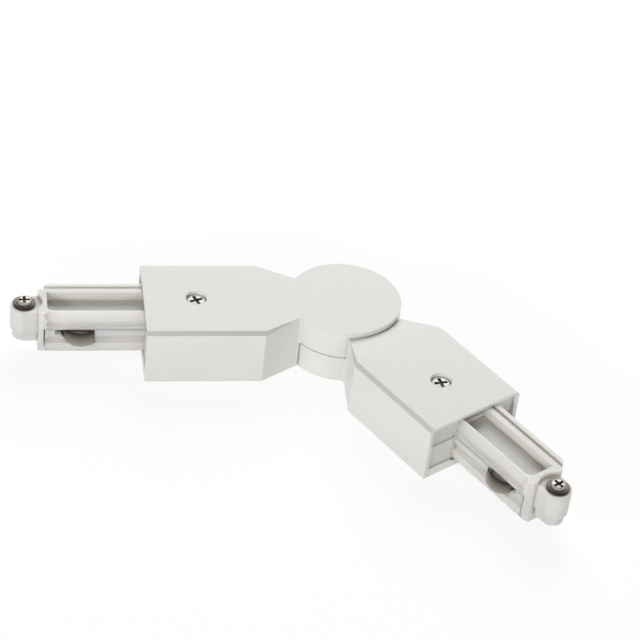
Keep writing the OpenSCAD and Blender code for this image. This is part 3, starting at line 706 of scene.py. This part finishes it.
def wire_route(arm, core):
    """The corners of a wire's route, from its contact's crimp to its end inside the pivot."""
    neck, beside, inside = WIRE_TURNS[core]
    neck_up, hub_up, end_up = WIRE_HEIGHTS[arm]
    corners = [
        *WIRE_STARTS[core],
        (*neck, neck_up),
        (*beside, hub_up),
        (*inside, hub_up),
        (*inside, end_up),
    ]
    return [on_arm(arm, corner) for corner in corners]


def lay_wire(arm, core, tree, settings, coat):
    """Makes a wire with flat ends along its route, and puts it on its body."""
    chain = bpy.data.meshes.new(f"{arm}_{core}_route")
    corners = wire_route(arm, core)
    chain.from_pydata(corners, [(i, i + 1) for i in range(len(corners) - 1)], [])
    wire = bpy.data.objects.new(f"{arm}_{core}_wire_insulated", chain)
    bpy.context.scene.collection.objects.link(wire)
    nodes = wire.modifiers.new("wire", "NODES")
    nodes.node_group = tree
    values = {"Radius": settings.radius, "Bend": settings.bend, "Insulation": coat}
    for name, value in values.items():
        nodes[tree.interface.items_tree[name].identifier] = value
    graph = bpy.context.evaluated_depsgraph_get()
    swept = bpy.data.meshes.new_from_object(wire.evaluated_get(graph))
    wire.modifiers.clear()
    wire.data = swept
    for face in swept.polygons:
        face.use_smooth = len(face.vertices) == 4
    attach(wire, body_of_arm(arm))
    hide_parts(f"{arm}_{core}_wire")


# Stage


def seen_directly(tree):
    """One for what the camera sees, also in gloss and through glass, and nought for the rest."""
    path = tree.nodes.new("ShaderNodeLightPath")
    seen = path.outputs["Is Camera Ray"]
    for ray in ("Is Glossy Ray", "Is Transmission Ray"):
        either = tree.nodes.new("ShaderNodeMath")
        either.operation = "MAXIMUM"
        tree.links.new(seen, either.inputs[0])
        tree.links.new(path.outputs[ray], either.inputs[1])
        seen = either.outputs["Value"]
    return seen


def backdrop_floor():
    """A wide pale floor that looks white and carries the object's faint shadow."""
    mesh = bpy.data.meshes.new("floor")
    square = ((-1, -1), (1, -1), (1, 1), (-1, 1))
    mesh.from_pydata([(x * FLOOR_HALF, y * FLOOR_HALF, 0) for x, y in square], [], [(0, 1, 2, 3)])
    floor = bpy.data.objects.new("floor", mesh)
    bpy.context.scene.collection.objects.link(floor)
    material = bpy.data.materials.new("pale floor")
    material.use_nodes = True
    tree = material.node_tree
    shader = tree.nodes["Principled BSDF"]
    shader.inputs["Roughness"].default_value = 0.9
    shader.inputs["Emission Color"].default_value = WHITE
    seen = seen_directly(tree)
    grey = map_range(tree, seen, (0.0, 1.0), (FLOOR_COLOUR, FLOOR_SHADE))
    glow = map_range(tree, seen, (0.0, 1.0), (0.0, 1.0 - FLOOR_SHADE))
    tree.links.new(grey, shader.inputs["Base Color"])
    tree.links.new(glow, shader.inputs["Emission Strength"])
    mesh.materials.append(material)


def light_world(strength):
    """A weak even light from all round, which looks white where it is seen."""
    world = bpy.data.worlds.new("studio")
    bpy.context.scene.world = world
    world.use_nodes = True
    tree = world.node_tree
    background = tree.nodes["Background"]
    background.inputs["Color"].default_value = WHITE
    level = map_range(tree, seen_directly(tree), (0.0, 1.0), (strength, 1.0))
    tree.links.new(level, background.inputs["Strength"])


def soft_lamp(name, place, size, power):
    """A rectangular lamp that looks at the hub."""
    data = bpy.data.lights.new(name, "AREA")
    data.shape = "RECTANGLE"
    data.size, data.size_y = size
    data.energy = power
    lamp = bpy.data.objects.new(name, data)
    lamp.location = place
    lamp.rotation_euler = (-Vector(place)).to_track_quat("-Z", "Y").to_euler()
    bpy.context.scene.collection.objects.link(lamp)


def photo_camera(lens):
    """A camera that sees the hub and the arms as the photo does."""
    data = bpy.data.cameras.new("camera")
    data.sensor_width = 36
    data.lens = lens
    data.clip_start = 0.01
    data.clip_end = 20
    azimuth, elevation, roll = (math.radians(angle) for angle in CAMERA_TURNS)
    level_right = Vector((math.cos(azimuth), math.sin(azimuth), 0))
    back = Vector(
        (
            math.sin(azimuth) * math.cos(elevation),
            -math.cos(azimuth) * math.cos(elevation),
            math.sin(elevation),
        )
    )
    level_up = back.cross(level_right)
    right = math.cos(roll) * level_right + math.sin(roll) * level_up
    up = math.cos(roll) * level_up - math.sin(roll) * level_right
    to_hub = right * HUB_IN_VIEW[0] + up * HUB_IN_VIEW[1] + back * HUB_IN_VIEW[2]
    turned = Matrix((right, up, back)).transposed().to_4x4()
    camera = bpy.data.objects.new("camera", data)
    camera.matrix_world = Matrix.Translation(-to_hub * MM) @ turned
    bpy.context.scene.collection.objects.link(camera)
    return camera


# Operators


class MakeStage(bpy.types.Operator):
    """Sets up the floor, the lamps, the world and the camera"""

    bl_idname = "connector.make_stage"
    bl_label = "Make stage"

    def execute(self, context):
        settings = context.scene.connector_stage
        backdrop_floor()
        light_world(settings.world)
        for name, (place, size) in LAMPS.items():
            soft_lamp(name, place, size, getattr(settings, name))
        context.scene.camera = photo_camera(settings.lens)
        context.scene.view_settings.view_transform = "Standard"
        return {"FINISHED"}


class MakeCases(bpy.types.Operator):
    """Rounds the moulded edges of the covers and bases and gives them their grain"""

    bl_idname = "connector.make_cases"
    bl_label = "Make cases"

    def execute(self, context):
        settings = context.scene.connector_case
        grained = case_top_plastic(settings)
        smooth = case_side_plastic(settings, "case plastic, smooth", 1.0)
        # The slanted edges get a darker copy of the smooth finish: painted shade
        shaded = case_side_plastic(settings, "case plastic, polished edge", PAINTED_EDGE_SHADE)
        for arm in ARMS:
            for node, name in (("cover", "cover_shell"), ("base", "base_plate")):
                piece = dress(f"{arm}_{node}", f"{arm}_{name}", settings.rounding, grained)
                finish_sides(piece, smooth, shaded)
        return {"FINISHED"}


class MakePlugs(bpy.types.Operator):
    """Rounds the edges of the plugs' mouldings and clamp feet"""

    bl_idname = "connector.make_plugs"
    bl_label = "Make plugs"

    def execute(self, context):
        settings = context.scene.connector_plug
        plastic = plug_plastic(settings)
        for arm in ARMS:
            for node in ("plug_top", "plug_base", "clamp_foot"):
                dress(f"{arm}_{node}", f"{arm}_{node}_moulding", settings.rounding, plastic)
        return {"FINISHED"}


class MakeContacts(bpy.types.Operator):
    """Gives the sprung contacts their plating and stamped edges"""

    bl_idname = "connector.make_contacts"
    bl_label = "Make contacts"

    def execute(self, context):
        settings = context.scene.connector_metal
        plate = contact_plate(settings.contact)
        for arm in ARMS:
            for node in ("live_contact", "neutral_contact", "earth_contact"):
                dress(f"{arm}_{node}", f"{arm}_{node}_strip", settings.rounding, plate)
        return {"FINISHED"}


class MakeScrews(bpy.types.Operator):
    """Makes the painted cover screws, the clamp screws, their washers and nuts"""

    bl_idname = "connector.make_screws"
    bl_label = "Make screws"

    def execute(self, context):
        settings = context.scene.connector_metal
        paint = white_paint(settings.paint)
        # The recesses' sunken faces get a dark colour: painted shade
        dark = painted_recess_shade()
        nickel = nickel_plate(settings.nickel)
        collar = painted_reflection_plate(settings.collar)
        width = settings.rounding
        heads = {"cover_screw": (paint, "painted_screw"), "clamp_screw": (nickel, "screw")}
        for arm in ARMS:
            for node, (metal, record_slot) in heads.items():
                head = dress(f"{arm}_{node}", f"{arm}_{node}_head", width, metal)
                darken_recess(head, arm, RECESSES[node], dark)
            dress(f"{arm}_clamp_washer", f"{arm}_clamp_collar", width, collar)
            dress(f"{arm}_clamp_nut", f"{arm}_clamp_nut_plated", width, nickel)
        return {"FINISHED"}


class MakePivot(bpy.types.Operator):
    """Gives the pieces inside the hub their finishes"""

    bl_idname = "connector.make_pivot"
    bl_label = "Make pivot"

    def execute(self, context):
        steel = spring_steel()
        repaint("pivot_sleeve", turned_brass())
        repaint("friction_washer", soft_plastic("friction plastic", (0.05, 0.05, 0.055)))
        repaint("spring_washer", steel)
        repaint("retaining_ring", steel)
        repaint("wire_sheath", soft_plastic("sheath plastic", (0.76, 0.75, 0.70)))
        return {"FINISHED"}


class MakeWires(bpy.types.Operator):
    """Lays the insulated wires along their routes through the arms and the pivot"""

    bl_idname = "connector.make_wires"
    bl_label = "Make wires"

    def execute(self, context):
        settings = context.scene.connector_wire
        tree = wire_tree()
        coats = {}
        for core, look in WIRE_COATS.items():
            coats[core] = soft_plastic(look["name"], look["colour"])
        for arm in ARMS:
            for core, coat in coats.items():
                lay_wire(arm, core, tree, settings, coat)
        return {"FINISHED"}


OPERATORS = (MakeStage, MakeCases, MakePlugs, MakeContacts, MakeScrews, MakePivot, MakeWires)


# Sidebar and registration


class ConnectorPanel(bpy.types.Panel):
    """Lists the connector's settings and the steps that make it"""

    bl_idname = "VIEW3D_PT_connector"
    bl_label = "Track connector"
    bl_space_type = "VIEW_3D"
    bl_region_type = "UI"
    bl_category = "Connector"

    def draw(self, context):
        for holder, group in SETTINGS.items():
            box = self.layout.box()
            for field in group.__annotations__:
                box.prop(getattr(context.scene, holder), field)
        for operator in OPERATORS:
            self.layout.operator(operator.bl_idname)


def register():
    """Adds the settings, the operators and the panel to Blender."""
    for group in SETTINGS.values():
        bpy.utils.register_class(group)
    for holder, group in SETTINGS.items():
        setattr(bpy.types.Scene, holder, bpy.props.PointerProperty(type=group))
    for operator in OPERATORS:
        bpy.utils.register_class(operator)
    bpy.utils.register_class(ConnectorPanel)


def unregister():
    """Takes them out again, the last one first."""
    bpy.utils.unregister_class(ConnectorPanel)
    for operator in reversed(OPERATORS):
        bpy.utils.unregister_class(operator)
    for holder in SETTINGS:
        delattr(bpy.types.Scene, holder)
    for group in reversed(list(SETTINGS.values())):
        bpy.utils.unregister_class(group)


def main():
    """Makes the connector."""
    register()
    bpy.ops.connector.make_stage()
    bpy.ops.connector.make_cases()
    bpy.ops.connector.make_plugs()
    bpy.ops.connector.make_contacts()
    bpy.ops.connector.make_screws()
    bpy.ops.connector.make_pivot()
    bpy.ops.connector.make_wires()


if __name__ == "__main__":
    main()
